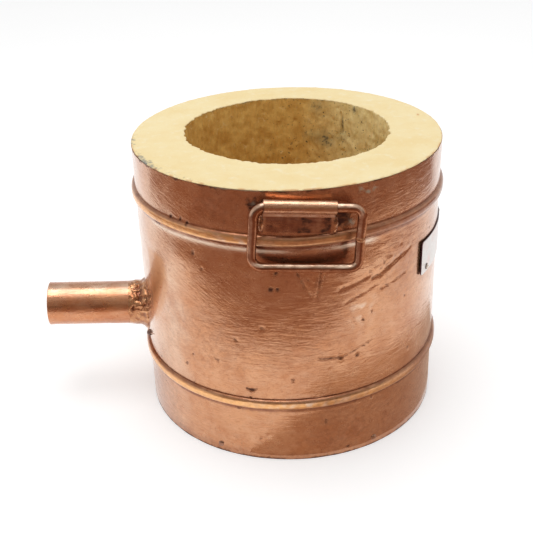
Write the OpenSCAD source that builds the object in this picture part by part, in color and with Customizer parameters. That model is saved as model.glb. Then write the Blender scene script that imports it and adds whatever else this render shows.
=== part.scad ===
// Gas forge for melting precious metal: a copper-plated sheet drum cast full of refractory,
// with an open crucible chamber, one side inlet for the gas burner and two drop handles.
// Millimetres, +Z up. The origin is the centre of the base. The front handle faces -Y and
// the burner pipe points along -X and a little up. An azimuth is measured from -Y towards +X.

/* [Drum] */
// Outside diameter of the sheet drum
drum_d = 254; // [246:1:262]
// Height of the sheet
drum_h = 237.5; // [232:0.5:244]
// Thickness of the sheet
sheet_t = 1.2; // [1:0.1:1.5]
// Width of the lower swaged bead
lower_bead_w = 8.9; // [6.5:0.1:9.5]
// Width of the upper swaged bead
upper_bead_w = 8.7; // [6.5:0.1:9.5]
// How far the beads stand out of the sheet
bead_rise = 3; // [2.5:0.1:3.2]
// Height of the upper bead's middle
upper_bead_z = 199.2; // [198:0.1:199.2]
// Height of the lower bead's middle
lower_bead_z = 55.3; // [50:0.1:55.5]
// Azimuth of the lapped seam
seam_azimuth = 135; // [125:1:150]
// Width of the lap
seam_lap = 14; // [12:1:18]

/* [Lining] */
// Diameter of the crucible chamber
chamber_d = 168; // [160:1:172]
// How far the chamber's core stood off the drum's axis, along X
chamber_x = 1.5; // [0:0.5:3]
// How far the chamber's core stood off the drum's axis, along Y
chamber_y = 4; // [0:0.5:5]
// Height of the chamber's floor
hearth_z = 60; // [56:1:64]
// Mean thickness of the cast wall round the chamber
wall_t = 24; // [20:1:25]
// How far the casting stands above the sheet
crown = 1.5; // [1:0.1:2]
// Depth of the cast collar that covers the insulation
collar_h = 17; // [15:1:20]
// Thickness of the insulating board under the hearth
board_t = 20; // [15:1:25]
// Diameter of the loose stand's foot
stand_d = 80; // [70:1:90]
// Height of the loose stand
stand_h = 26; // [22:1:28]

/* [Burner pipe] */
// Outside diameter of the pipe
pipe_d = 38.1; // [36:0.1:40]
// Wall thickness of the pipe
pipe_t = 2; // [1.5:0.1:2.5]
// Height of the pipe's axis where it meets the drum
pipe_z = 84.8; // [84.6:0.1:90]
// How much higher the pipe's outer end is set, in degrees
pipe_tilt = 2.2; // [0:0.1:3]
// Length of pipe outside the drum
pipe_out = 86; // [70:1:110]
// Length of pipe inside the drum's outer face
pipe_in = 31; // [28:1:34]

/* [Handles] */
// Height of the hinge axis
pivot_z = 227.3; // [227.2:0.1:227.8]
// Diameter of the handle's rod
rod_d = 7; // [6.6:0.1:7.1]
// Width of a bail between its legs' axes
bail_w = 78; // [77.6:0.1:82]
// Height of a bail between its bars' axes
bail_h = 47.8; // [45:0.1:48.5]
// Radius of a bail's corners at the rod's axis
bail_corner = 8; // [7:0.5:8]
// Width of the clip that holds the rod
clip_w = 52; // [48:1:54]
// How far the front bail has slid along its clip
front_slide = 6; // [0:0.1:6]
// How far the front clip is set out of level, in degrees
front_tilt = 4; // [0:0.5:4]

/* [Nameplate] */
// Width of the plate along its bend
plate_w = 88; // [80:1:92]
// Height of the plate
plate_h = 29.5; // [26:0.5:32]
// Thickness of the plate
plate_t = 1; // [0.8:0.1:1.2]
// Radius that the plate is bent to
plate_bend_r = 150; // [145:5:160]
// Azimuth of the plate's middle
plate_azimuth = 70.5; // [68:0.5:80]
// Height of the plate's lower edge
plate_z = 139.8; // [136:0.1:145]

/* [Hidden] */
$fn = 96;

copper = "#b9714a";
dark_copper = "#8c5236";
refractory = "#ead9a6";
fibre = "#f1efe8";
silver = "#d9d6d2";
steel = "#8e8a86";

slack = 0.2;   // gap between neighbours that don't slide
touch = 0.05;  // gap under a weld or a rivet's tail, so that curved faces don't bite
cut = 1;       // how far a cutting tool runs past the solid it cuts

drum_r = drum_d / 2;
sheet_in_r = drum_r - sheet_t;
beads = [[lower_bead_z, lower_bead_w], [upper_bead_z, upper_bead_w]];   // height, width
bead_room = 20;   // as far in as any bead's round reaches, and more
top_z = drum_h + crown;

chamber_r = chamber_d / 2;
wall_out_r = chamber_r + wall_t;
collar_z = top_z - collar_h;
sleeve_gap = 1.4;   // room for the rivets' tails behind the sheet
crown_inset = 0.3;  // from the sheet's outer face to the edge of the crown

flange_h = 14;
flange_out_r = sheet_in_r - slack;
board_z = sheet_t;
slab_z = board_z + board_t;

pipe_r = pipe_d / 2;
pipe_seat_r = pipe_r + slack;
flame_port_r = 18;

// Rivets: shank, domed head outside and bucked tail inside
rivet_r = 1.5;
rivet_hole_r = 1.55;
head_r = 2.6;
head_h = 1.4;
tail_r = 2.3;
tail_h = 1;
base_rivet_count = 6;
base_rivet_first = 28.5;
base_rivet_z = 6.5;
seam_rivet_heights = [24, 42, 74, 107, 140, 173, 217];

// Clip: one strip of sheet wrapped round the rod, its tail lying flat on the drum
rod_r = rod_d / 2;
clip_bore_r = rod_r + 0.3;
clip_out_r = clip_bore_r + sheet_t;
clip_back_y = -(drum_r + 0.15);
pivot_y = clip_back_y - clip_out_r;
tab_drop = 23;
lip_drop = 9;
clip_weld_r = 2.4;
clip_weld_h = 12.8;
butt_weld_r = rod_r + 0.5;
butt_weld_h = 3;

plate_centre_y = plate_bend_r - drum_r - 0.1;
plate_rivet_edge = 11;   // from the plate's end to the rivet
plate_rivet_rise = 4.4;  // from the plate's long edge to the rivet

function arc_degrees(length, radius) = length / radius * 180 / PI;
// Distance from the plate's centre of bend, at angle a, to a cylinder of radius r about the drum's axis
function bend_ray(r, a) =
    plate_centre_y * cos(a) + sqrt(r * r - pow(plate_centre_y * sin(a), 2));

plate_half_angle = arc_degrees(plate_w / 2, plate_bend_r);
plate_rivet_angle = arc_degrees(plate_w / 2 - plate_rivet_edge, plate_bend_r);

// ---- placing helpers ----

// Turns what is built at the front, on -Y, to an azimuth
module at_azimuth(azimuth) rotate([0, 0, azimuth]) children();

// Points what is built along +Z straight out of the front
module facing_out() rotate([90, 0, 0]) children();

module ring(r_in, r_out, z, h) {
    translate([0, 0, z]) difference() {
        cylinder(r = r_out, h = h);
        translate([0, 0, -cut]) cylinder(r = r_in, h = h + 2 * cut);
    }
}

// Cylinder or cone along the burner pipe's axis. Its ends are given as x on a level pipe.
module pipe_cone(r_from, r_to, x_from, x_to) {
    translate([-drum_r, 0, pipe_z]) rotate([0, pipe_tilt, 0])
        translate([x_from + drum_r, 0, 0]) rotate([0, 90, 0])
            cylinder(r1 = r_from, r2 = r_to, h = x_to - x_from);
}

module along_pipe(r, x_from, x_to) pipe_cone(r, r, x_from, x_to);

// ---- rivets ----

module rivet(r_in, r_out) facing_out() {
    dome_r = (head_r * head_r + head_h * head_h) / (2 * head_h);
    translate([0, 0, r_in - tail_h]) cylinder(r = tail_r, h = tail_h);
    translate([0, 0, r_in - tail_h]) cylinder(r = rivet_r, h = r_out - r_in + tail_h + head_h / 2);
    intersection() {
        translate([0, 0, r_out + head_h - dome_r]) sphere(r = dome_r);
        translate([0, 0, r_out]) cylinder(r = head_r + cut, h = head_h + cut);
    }
}

module rivet_hole(r_in, r_out) facing_out()
    translate([0, 0, r_in]) cylinder(r = rivet_hole_r, h = r_out - r_in);

module at_base_rivets() {
    for (i = [0 : base_rivet_count - 1])
        at_azimuth(base_rivet_first + i * 360 / base_rivet_count)
            translate([0, 0, base_rivet_z]) children();
}

module at_seam_rivets() {
    for (z = seam_rivet_heights)
        at_azimuth(seam_azimuth) translate([0, 0, z]) children();
}

// The plate has a rivet near its lower front corner and one near its upper rear corner
module at_plate_rivets() {
    for (side = [-1, 1])
        at_azimuth(plate_azimuth)
            translate([0, plate_centre_y, plate_z + plate_h / 2 + side * (plate_h / 2 - plate_rivet_rise)])
                at_azimuth(side * plate_rivet_angle) children();
}

// ---- drum ----

// Radius of the round of a bead of width w
function bead_round(w) = (w * w / 4 + bead_rise * bead_rise) / (2 * bead_rise);

// The rounds of all beads, each grown by grow
module bead_rounds(grow) {
    for (bead = beads)
        translate([drum_r + bead_rise - bead_round(bead[1]), bead[0]])
            circle(r = bead_round(bead[1]) + grow);
}

// Section of a sheet whose outer face is at radius r, with its beads raised by grow
module sheet_section(r, t, grow) {
    difference() {
        union() {
            translate([r - t, 0]) square([t, drum_h]);
            bead_rounds(grow);
        }
        bead_rounds(grow - t);
        translate([r - t - bead_room, -cut]) square([bead_room, drum_h + 2 * cut]);
    }
}

module shell() color(copper) {
    lap_degrees = arc_degrees(seam_lap, drum_r);
    root = sheet_t / 3;   // how deep the lap is let into the sheet below, so that they join
    difference() {
        union() {
            rotate_extrude() sheet_section(drum_r, sheet_t, 0);
            at_azimuth(seam_azimuth - 90 - lap_degrees / 2)
                rotate_extrude(angle = lap_degrees)
                    sheet_section(drum_r + sheet_t, sheet_t + root, sheet_t);
        }
        along_pipe(pipe_seat_r, -drum_r - 10, -drum_r + 20);
        at_base_rivets() rivet_hole(sheet_in_r - cut, drum_r + cut);
        at_seam_rivets() rivet_hole(sheet_in_r - cut, drum_r + sheet_t + cut);
        at_plate_rivets() rivet_hole(bend_ray(sheet_in_r - cut, plate_rivet_angle),
                                     bend_ray(drum_r + cut, plate_rivet_angle));
    }
}

module seam_rivets() color(dark_copper)
    at_seam_rivets() rivet(sheet_in_r - touch, drum_r + sheet_t + touch);

// The base is a shallow pan, its rim turned up inside the sheet
module base_pan() color(copper) {
    difference() {
        union() {
            cylinder(r = flange_out_r, h = sheet_t);
            ring(flange_out_r - sheet_t, flange_out_r, 0, flange_h);
        }
        at_base_rivets() rivet_hole(flange_out_r - sheet_t - cut, flange_out_r + cut);
    }
}

module base_rivets() color(dark_copper)
    at_base_rivets() rivet(flange_out_r - sheet_t - touch, drum_r + touch);

// ---- refractory ----

module insulating_board() color(fibre)
    translate([0, 0, board_z])
        cylinder(r = flange_out_r - sheet_t - tail_h - slack, h = board_t);

module insulating_sleeve() color(fibre)
    difference() {
        ring(wall_out_r + slack, sheet_in_r - sleeve_gap, slab_z, collar_z - slab_z - slack);
        along_pipe(pipe_seat_r, -drum_r, 0);
    }

module hearth_slab() color(refractory)
    translate([0, 0, slab_z]) cylinder(r = wall_out_r, h = hearth_z - slab_z);

module at_chamber() translate([chamber_x, chamber_y, hearth_z]) children();

// The wall and its collar are one casting, with the burner pipe's seat and the flame port in it.
// Its crown laps the edge of the sheet.
module lining_wall() color(refractory)
    difference() {
        union() {
            translate([0, 0, hearth_z]) cylinder(r = wall_out_r, h = top_z - hearth_z);
            translate([0, 0, collar_z]) cylinder(r = sheet_in_r - slack, h = collar_h);
            translate([0, 0, drum_h]) cylinder(r = drum_r - crown_inset, h = crown);
        }
        at_chamber() translate([0, 0, -cut]) cylinder(r = chamber_r, h = top_z);
        along_pipe(pipe_seat_r, -drum_r, -drum_r + pipe_in);
        along_pipe(flame_port_r, -drum_r, 0);
    }

// Loose plinth that the crucible stands on, with a shallow seat
module crucible_stand() color(refractory) {
    taper = 3;
    seat_r = 27;
    seat_depth = 3;
    at_chamber() difference() {
        cylinder(r1 = stand_d / 2, r2 = stand_d / 2 - taper, h = stand_h);
        translate([0, 0, stand_h - seat_depth]) cylinder(r = seat_r, h = seat_depth + cut);
    }
}

// ---- burner pipe ----

module burner_pipe() color(copper)
    difference() {
        along_pipe(pipe_r, -drum_r - pipe_out, -drum_r + pipe_in);
        along_pipe(pipe_r - pipe_t, -drum_r - pipe_out - cut, -drum_r + pipe_in + cut);
    }

// Weld between the pipe and the drum: a run along the pipe that flares out onto the drum
module pipe_weld() color(dark_copper) {
    reach = 17;      // along the pipe
    run_t = 1.4;     // thickness along the pipe
    flare = 8;       // length of the flare
    flare_t = 5.5;   // how far the flare spreads
    fish_mouth = 2;  // the drum falls away this much beside the pipe
    difference() {
        union() {
            along_pipe(pipe_r + run_t, -drum_r - reach, -drum_r + fish_mouth);
            pipe_cone(pipe_r + run_t, pipe_r + flare_t, -drum_r - flare, -drum_r + fish_mouth);
        }
        cylinder(r = drum_r + touch, h = drum_h);
        along_pipe(pipe_r + touch, -drum_r - reach - cut, 0);
    }
}

// ---- handles, built at the front ----

// Puts children on a hinge axis that runs along X, set out of level by tilt
module on_hinge(tilt) translate([0, pivot_y, pivot_z]) rotate([0, tilt, 0]) children();

module rod_along_x(r, x_from, x_to)
    translate([x_from, 0, 0]) rotate([0, 90, 0]) cylinder(r = r, h = x_to - x_from);

module tab() translate([-clip_w / 2, clip_bore_r, -tab_drop]) cube([clip_w, sheet_t, tab_drop]);

// The strip's end, pressed flat on the tab below the rod
module lip()
    translate([-clip_w / 2, clip_bore_r - sheet_t, -lip_drop]) cube([clip_w, sheet_t + touch, lip_drop]);

module clip(tilt) color(copper) on_hinge(tilt)
    difference() {
        union() {
            rod_along_x(clip_out_r, -clip_w / 2, clip_w / 2);
            tab();
            lip();
        }
        rod_along_x(clip_bore_r, -clip_w / 2 - cut, clip_w / 2 + cut);
    }

// The tab is flat and the drum is round, so a weld fills the gap at each end of the tab
module clip_welds(tilt) color(dark_copper)
    difference() {
        on_hinge(tilt) difference() {
            for (side = [-1, 1])
                translate([side * (clip_w / 2 + 0.4), clip_bore_r + 2, -tab_drop + 1])
                    cylinder(r = clip_weld_r, h = clip_weld_h);
            translate([-clip_w / 2 - touch, clip_bore_r - touch, -tab_drop - cut])
                cube([clip_w + 2 * touch, sheet_t + 2 * touch, tab_drop + cut]);
        }
        cylinder(r = drum_r + touch, h = drum_h);
    }

module bail_corners(half_w, low) {
    for (corner = [[half_w, 0, 0], [-half_w, 0, 90], [-half_w, low, 180], [half_w, low, 270]])
        translate([corner[0] - sign(corner[0]) * bail_corner, 0,
                   corner[1] + (corner[1] == 0 ? -1 : 1) * bail_corner])
            rotate([90, 0, 0]) rotate([0, 0, corner[2]])
                rotate_extrude(angle = 90) translate([bail_corner, 0]) circle(r = rod_r);
}

module bail(tilt, slide) color(copper) on_hinge(tilt) translate([slide, 0, 0]) {
    half_w = bail_w / 2;
    straight_w = half_w - bail_corner;
    rod_along_x(rod_r, -straight_w, straight_w);
    translate([0, 0, -bail_h]) rod_along_x(rod_r, -straight_w, straight_w);
    for (side = [-1, 1])
        translate([side * half_w, 0, bail_corner - bail_h])
            cylinder(r = rod_r, h = bail_h - 2 * bail_corner);
    bail_corners(half_w, -bail_h);
}

// The rod's two ends meet in a butt weld halfway down one leg
module bail_weld(tilt, slide) color(dark_copper) on_hinge(tilt)
    translate([slide + bail_w / 2, 0, 0])
        ring(rod_r + touch, butt_weld_r, -bail_h / 2 - butt_weld_h / 2, butt_weld_h);

// ---- nameplate ----

module nameplate() color(silver)
    difference() {
        at_azimuth(plate_azimuth) translate([0, plate_centre_y, plate_z])
            rotate([0, 0, -90 - plate_half_angle])
                rotate_extrude(angle = 2 * plate_half_angle)
                    translate([plate_bend_r, 0]) square([plate_t, plate_h]);
        at_plate_rivets() rivet_hole(plate_bend_r - cut, plate_bend_r + plate_t + cut);
    }

module nameplate_rivets() color(steel) {
    tail_tilt = 0.25;   // the sheet isn't square to the rivet, so its tail stands off this much more
    at_plate_rivets() rivet(bend_ray(sheet_in_r, plate_rivet_angle) - tail_tilt,
                            plate_bend_r + plate_t + touch);
}

shell();
seam_rivets();
base_pan();
base_rivets();
insulating_board();
insulating_sleeve();
hearth_slab();
lining_wall();
crucible_stand();
burner_pipe();
pipe_weld();
clip(front_tilt);  // front_clip
clip_welds(front_tilt);  // front_clip_welds
bail(front_tilt, front_slide);  // front_bail
bail_weld(front_tilt, front_slide);  // front_bail_weld
at_azimuth(180) clip(0);  // rear_clip
at_azimuth(180) clip_welds(0);  // rear_clip_welds
at_azimuth(180) bail(0, 0);  // rear_bail
at_azimuth(180) bail_weld(0, 0);  // rear_bail_weld
nameplate();
nameplate_rivets();
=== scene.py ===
"""Looks of the gas forge: a copper-plated sheet drum cast full of refractory.

Lengths are millimetres until a mesh is made, and metres in Blender. An azimuth is in degrees,
from the front (-Y) towards the right (+X). A height is above the base.
"""
import math

import bmesh
import bpy
import numpy as np
from mathutils import Matrix, Vector


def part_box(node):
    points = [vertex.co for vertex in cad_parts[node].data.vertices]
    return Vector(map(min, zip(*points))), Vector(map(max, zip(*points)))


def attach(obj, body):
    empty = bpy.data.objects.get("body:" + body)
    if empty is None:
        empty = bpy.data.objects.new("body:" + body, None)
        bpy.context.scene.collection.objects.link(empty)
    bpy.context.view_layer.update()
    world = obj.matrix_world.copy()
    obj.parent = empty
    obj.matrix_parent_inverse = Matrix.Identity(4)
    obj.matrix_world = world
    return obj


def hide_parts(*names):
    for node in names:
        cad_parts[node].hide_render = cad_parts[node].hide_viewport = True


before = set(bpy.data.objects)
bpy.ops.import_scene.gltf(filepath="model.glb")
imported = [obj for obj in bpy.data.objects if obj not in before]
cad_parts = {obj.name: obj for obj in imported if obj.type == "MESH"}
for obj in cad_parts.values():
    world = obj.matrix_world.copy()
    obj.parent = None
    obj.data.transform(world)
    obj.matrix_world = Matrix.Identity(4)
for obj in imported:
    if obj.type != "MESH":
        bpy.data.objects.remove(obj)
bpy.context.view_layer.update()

MM = 0.001


# ---- sizes read from the frame ----

def node_box(node):
    """Lowest and highest corner of a CAD node, in millimetres."""
    low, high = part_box(node)
    return np.array(low) / MM, np.array(high) / MM


SHEET_H = node_box("shell")[1][2]
TOP_Z = node_box("lining_wall")[1][2]
DRUM_R = 127.0
SHEET_T = 1.2
SHEET_IN_R = DRUM_R - SHEET_T
BEAD_RISE = 3.0
LOWER_BEAD_Z, LOWER_BEAD_W = 55.3, 8.9
UPPER_BEAD_Z, UPPER_BEAD_W = 199.2, 8.7
BEADS = ((LOWER_BEAD_Z, LOWER_BEAD_W), (UPPER_BEAD_Z, UPPER_BEAD_W))
SEAM_AZIMUTH = 135.0
SEAM_LAP = 14.0
CHAMBER = np.array([1.5, 4.0])
CHAMBER_R = 84.0
CHAMBER_FLOOR_Z = node_box("lining_wall")[0][2]
WALL_OUT_R = 108.0
COLLAR_R = SHEET_IN_R - 0.2
COLLAR_Z = TOP_Z - 17.0
CROWN_R = DRUM_R - 0.3
PIPE_R = 19.05
PIPE_IN_R = 17.05
PIPE_SEAT_R = 19.25
FLAME_PORT_R = 18.0
PIPE_Z = 84.8
PIPE_TILT = math.radians(2.2)
PIPE_OUT = 86.0
PIPE_START, PIPE_END, WELD_START = -DRUM_R - PIPE_OUT, -DRUM_R + 31.0, -DRUM_R - 17.0
ROD_R = 3.5
CLIP_W = 52.0
CLIP_MID_R = 4.4
TAB_DROP = 23.0
LIP_DROP = 9.0
BAIL_HALF_W = 39.0
BAIL_H = 47.8
FRONT_TILT = 4.0
FRONT_SLIDE = 6.0
PLATE_AZIMUTH = 70.5
PLATE_W = 88.0
PLATE_H = 29.5
PLATE_T = 1.0
PLATE_BEND_R = 150.0
PLATE_Z = node_box("nameplate")[0][2]
PLATE_CENTRE_Y = PLATE_BEND_R - DRUM_R - 0.1
PIVOT = (0.0, -132.15, 227.3)


# ---- noise ----

rng = np.random.default_rng(11)
LATTICE = rng.permutation(256)
GRADIENTS = rng.normal(size=(256, 3))
GRADIENTS /= np.linalg.norm(GRADIENTS, axis=1)[:, None]


def noise(points, size, shift=0.0):
    """Smooth noise from about -1 to 1, whose lumps are about size millimetres across."""
    p = np.asarray(points, float) / size + shift
    cell = np.floor(p).astype(int)
    inside = p - cell
    ease = inside ** 3 * (inside * (inside * 6 - 15) + 10)
    total = np.zeros(p.shape[:-1])
    for corner in np.ndindex(2, 2, 2):
        c = np.array(corner)
        at = (cell + c) & 255
        pick = LATTICE[(LATTICE[(LATTICE[at[..., 0]] + at[..., 1]) & 255] + at[..., 2]) & 255]
        weight = np.where(c == 1, ease, 1 - ease).prod(-1)
        total += weight * (GRADIENTS[pick] * (inside - c)).sum(-1)
    return total * 1.6


def smooth(low, high, x):
    """0 below low, 1 above high and a soft step between them."""
    t = np.clip((np.asarray(x, float) - low) / (high - low), 0, 1)
    return t * t * (3 - 2 * t)


def window(x, start, full, fading, gone):
    """1 from full to fading, 0 before start and after gone, with soft steps between."""
    return smooth(start, full, x) * (1 - smooth(fading, gone, x))


def bell(x, middle, width):
    return np.exp(-((np.asarray(x, float) - middle) / width) ** 2)


# ---- meshes ----

def on_drum(azimuth, radius, z):
    a = np.radians(azimuth)
    x, y, z = np.broadcast_arrays(radius * np.sin(a), -radius * np.cos(a), z)
    return np.stack([x, y, z], -1)


def grid_faces(rows, columns, wrap_rows, wrap_columns):
    i = np.arange(rows if wrap_rows else rows - 1)
    j = np.arange(columns if wrap_columns else columns - 1)
    a, b = np.meshgrid(i, j, indexing="ij")
    c, d = (a + 1) % rows, (b + 1) % columns
    quads = [a * columns + b, c * columns + b, c * columns + d, a * columns + d]
    return np.stack(quads, -1).reshape(-1, 4).tolist()


def mesh_object(name, points, faces, body="furnace", node=None, material=None, sharp=40, **values):
    """A closed mesh from points in millimetres. Each of values is kept at every point for the material,
    from 0 to 1, or is one number for all of them."""
    mesh = bpy.data.meshes.new(name)
    mesh.from_pydata((np.asarray(points).reshape(-1, 3) * MM).tolist(), [], faces)
    for key, value in values.items():
        data = mesh.attributes.new(key, "FLOAT", "POINT").data
        held = np.broadcast_to(np.clip(np.ravel(value), 0, 1), len(mesh.vertices))
        data.foreach_set("value", held.astype(np.float32))
    work = bmesh.new()
    work.from_mesh(mesh)
    bmesh.ops.recalc_face_normals(work, faces=work.faces)
    work.to_mesh(mesh)
    work.free()
    mesh.shade_smooth()
    mesh.set_sharp_from_angle(angle=math.radians(sharp))
    piece = bpy.data.objects.new(name, mesh)
    bpy.context.scene.collection.objects.link(piece)
    if material:
        mesh.materials.append(material)
    if body:
        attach(piece, body)
    if node:
        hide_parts(node)
    return piece


def ring_mesh(name, points, **how):
    """points[i, j] closes on itself both ways round, as a ring does."""
    rows, columns = points.shape[:2]
    return mesh_object(name, points, grid_faces(rows, columns, True, True), **how)


def capped(points):
    """Points and faces of a tube whose ends, the first and last row, are closed by flat caps."""
    rows, columns = points.shape[:2]
    faces = grid_faces(rows, columns, False, True)
    faces.append(list(range(columns)))
    faces.append([(rows - 1) * columns + j for j in range(columns)])
    return points.reshape(-1, 3), faces


def joined(parts):
    """Several (points, faces) as one."""
    points, faces, start = [], [], 0
    for p, f in parts:
        points.append(p)
        faces += [[i + start for i in face] for face in f]
        start += len(p)
    return np.concatenate(points), faces


def along_pipe(turn, radius, x):
    """Points round the burner pipe. A turn of 0 faces the front, and 90 is the top. x is as on a
    level pipe."""
    out, radius, turn = np.broadcast_arrays(np.asarray(x, float) + DRUM_R, radius, np.radians(turn))
    rise = radius * np.sin(turn)
    return np.stack([-DRUM_R + out * math.cos(PIPE_TILT) + rise * math.sin(PIPE_TILT),
                     -radius * np.cos(turn),
                     PIPE_Z - out * math.sin(PIPE_TILT) + rise * math.cos(PIPE_TILT)], -1)


def pipe_meets_drum(turn, radius):
    """x, as on a level pipe, where a line along the pipe meets the sheet's face."""
    turn = np.radians(turn)
    x = -np.sqrt((DRUM_R - 0.3) ** 2 - (radius * np.cos(turn)) ** 2)
    return -DRUM_R + (x + DRUM_R - radius * np.sin(turn) * math.sin(PIPE_TILT)) / math.cos(PIPE_TILT)


def cut_with_cylinder(piece, start, end, radius):
    """Cuts a round hole through a piece, along the burner pipe."""
    turn = np.arange(0, 360, 5)
    tool = mesh_object("hole_tool", *capped(np.array([along_pipe(turn, radius, x) for x in (start, end)])),
                       body=None)
    cut = piece.modifiers.new("hole", "BOOLEAN")
    cut.operation = "DIFFERENCE"
    cut.solver = "EXACT"
    cut.object = tool
    bpy.context.view_layer.update()
    held = piece.evaluated_get(bpy.context.evaluated_depsgraph_get())
    result = bpy.data.meshes.new_from_object(held)
    piece.modifiers.clear()
    piece.data = result
    bpy.data.objects.remove(tool)


def waved(points, depth, size, shifts=(0.0, 31.0, 57.0)):
    """The same points, pushed about by smooth noise."""
    return points + depth * np.stack([noise(points, size, shift) for shift in shifts], -1)


def lathe(outline, columns=48):
    """A solid turned about Z. The outline's first and last points lie on the axis."""
    a = np.linspace(0, 2 * math.pi, columns, endpoint=False)
    body = outline[1:-1]
    x, y = body[:, :1] * np.cos(a), body[:, :1] * np.sin(a)
    points = np.stack([x, y, np.repeat(body[:, 1:], columns, 1)], -1).reshape(-1, 3)
    faces = grid_faces(len(body), columns, False, True)
    low, high = len(points), len(points) + 1
    points = np.concatenate([points, [[0, 0, outline[0, 1]], [0, 0, outline[-1, 1]]]])
    last = (len(body) - 1) * columns
    for j in range(columns):
        k = (j + 1) % columns
        faces.append([low, j, k])
        faces.append([high, last + j, last + k])
    return points, faces


def subdivided(outline, step):
    """The same outline with points no further apart than step."""
    out = []
    for a, b in zip(outline[:-1], outline[1:]):
        count = max(1, int(math.ceil(np.linalg.norm(b - a) / step)))
        out += [a + (b - a) * i / count for i in range(count)]
    out.append(outline[-1])
    return np.array(out)


# ---- materials ----

class Shader:
    """A Principled material and the few nodes it is made with."""

    def __init__(self, name, **settings):
        self.material = bpy.data.materials.new(name)
        self.material.use_nodes = True
        self.tree = self.material.node_tree
        self.bsdf = self.tree.nodes["Principled BSDF"]
        for socket, value in settings.items():
            self.bsdf.inputs[socket.replace("_", " ")].default_value = value
        self.place = self.tree.nodes.new("ShaderNodeTexCoord").outputs["Object"]

    def put(self, target, value):
        if isinstance(value, bpy.types.NodeSocket):
            self.tree.links.new(value, target)
        elif hasattr(value, "__len__") and len(value) == 3 and target.type == "RGBA":
            target.default_value = (*value, 1)
        else:
            target.default_value = value

    def add(self, kind, **inputs):
        node = self.tree.nodes.new("ShaderNode" + kind)
        for name, value in inputs.items():
            self.put(node.inputs[name.replace("_", " ")], value)
        return node

    def value(self, name):
        node = self.add("Attribute")
        node.attribute_name = name
        return node.outputs["Fac"]

    def stretched(self, lengths, turn=(0, 0, 0)):
        """The place, so that a texture's lumps are lengths times as long along each turned axis."""
        node = self.add("Mapping", Vector=self.place, Scale=lengths,
                        Rotation=[math.radians(t) for t in turn])
        node.vector_type = "TEXTURE"
        return node.outputs["Vector"]

    def noise(self, size, detail=3.0, rough=0.55, warp=0.0, vector=None):
        """Noise whose lumps are about size millimetres across, from 0 to 1."""
        node = self.add("TexNoise", Vector=vector or self.place, Scale=1 / (size * MM), Detail=detail,
                        Roughness=rough, Distortion=warp)
        return node.outputs["Fac"]

    def span(self, value, low, high, start=0.0, end=1.0):
        node = self.add("MapRange", Value=value, From_Min=low, From_Max=high, To_Min=start, To_Max=end)
        return node.outputs["Result"]

    def math(self, operation, a, b):
        node = self.add("Math")
        node.operation = operation
        self.put(node.inputs[0], a)
        self.put(node.inputs[1], b)
        return node.outputs[0]

    def times(self, a, b):
        return self.math("MULTIPLY", a, b)

    def plus(self, a, b):
        return self.math("ADD", a, b)

    def mix(self, share, a, b):
        """a where share is 0, b where it is 1. The mix node's colour sockets have no names of their own."""
        node = self.add("Mix")
        node.data_type = "RGBA"
        node.clamp_factor = True
        self.put(node.inputs[0], share)
        self.put(node.inputs[6], a)
        self.put(node.inputs[7], b)
        return node.outputs[2]

    def bump(self, height, depth, under=None):
        """A bump of depth millimetres between the height's 0 and 1."""
        node = self.add("Bump", Distance=depth * MM, Height=height)
        if under is not None:
            self.put(node.inputs["Normal"], under)
        return node.outputs["Normal"]

    def finish(self, colour, roughness, normal=None, coat_normal=None):
        self.put(self.bsdf.inputs["Base Color"], colour)
        self.put(self.bsdf.inputs["Roughness"], roughness)
        if normal is not None:
            self.put(self.bsdf.inputs["Normal"], normal)
        if coat_normal is not None:
            self.put(self.bsdf.inputs["Coat Normal"], coat_normal)
        return self.material


COPPER = (0.64, 0.295, 0.135)
COPPER_DEEP = (0.47, 0.17, 0.062)
COPPER_PALE = (0.74, 0.44, 0.27)
# Cream of the painted sheens and highlights.
SHEEN = (0.88, 0.66, 0.49)
# Dark brown of the painted shade, of the specks and of the weld's darker hollows.
DARK_BROWN = (0.20, 0.055, 0.022)
# Near-black of dirt, sooty marks and tarnish, and of painted shade in creases.
TARNISH_AND_SHADE = (0.085, 0.03, 0.018)
CHALK = (0.42, 0.40, 0.31)
# Orange of the painted highlights and of a painted reflection.
HIGHLIGHT_ORANGE = (1.0, 0.54, 0.21)
# Red-orange of the tint from heating, and of painted reflections.
RED_ORANGE = (0.95, 0.22, 0.07)


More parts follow.
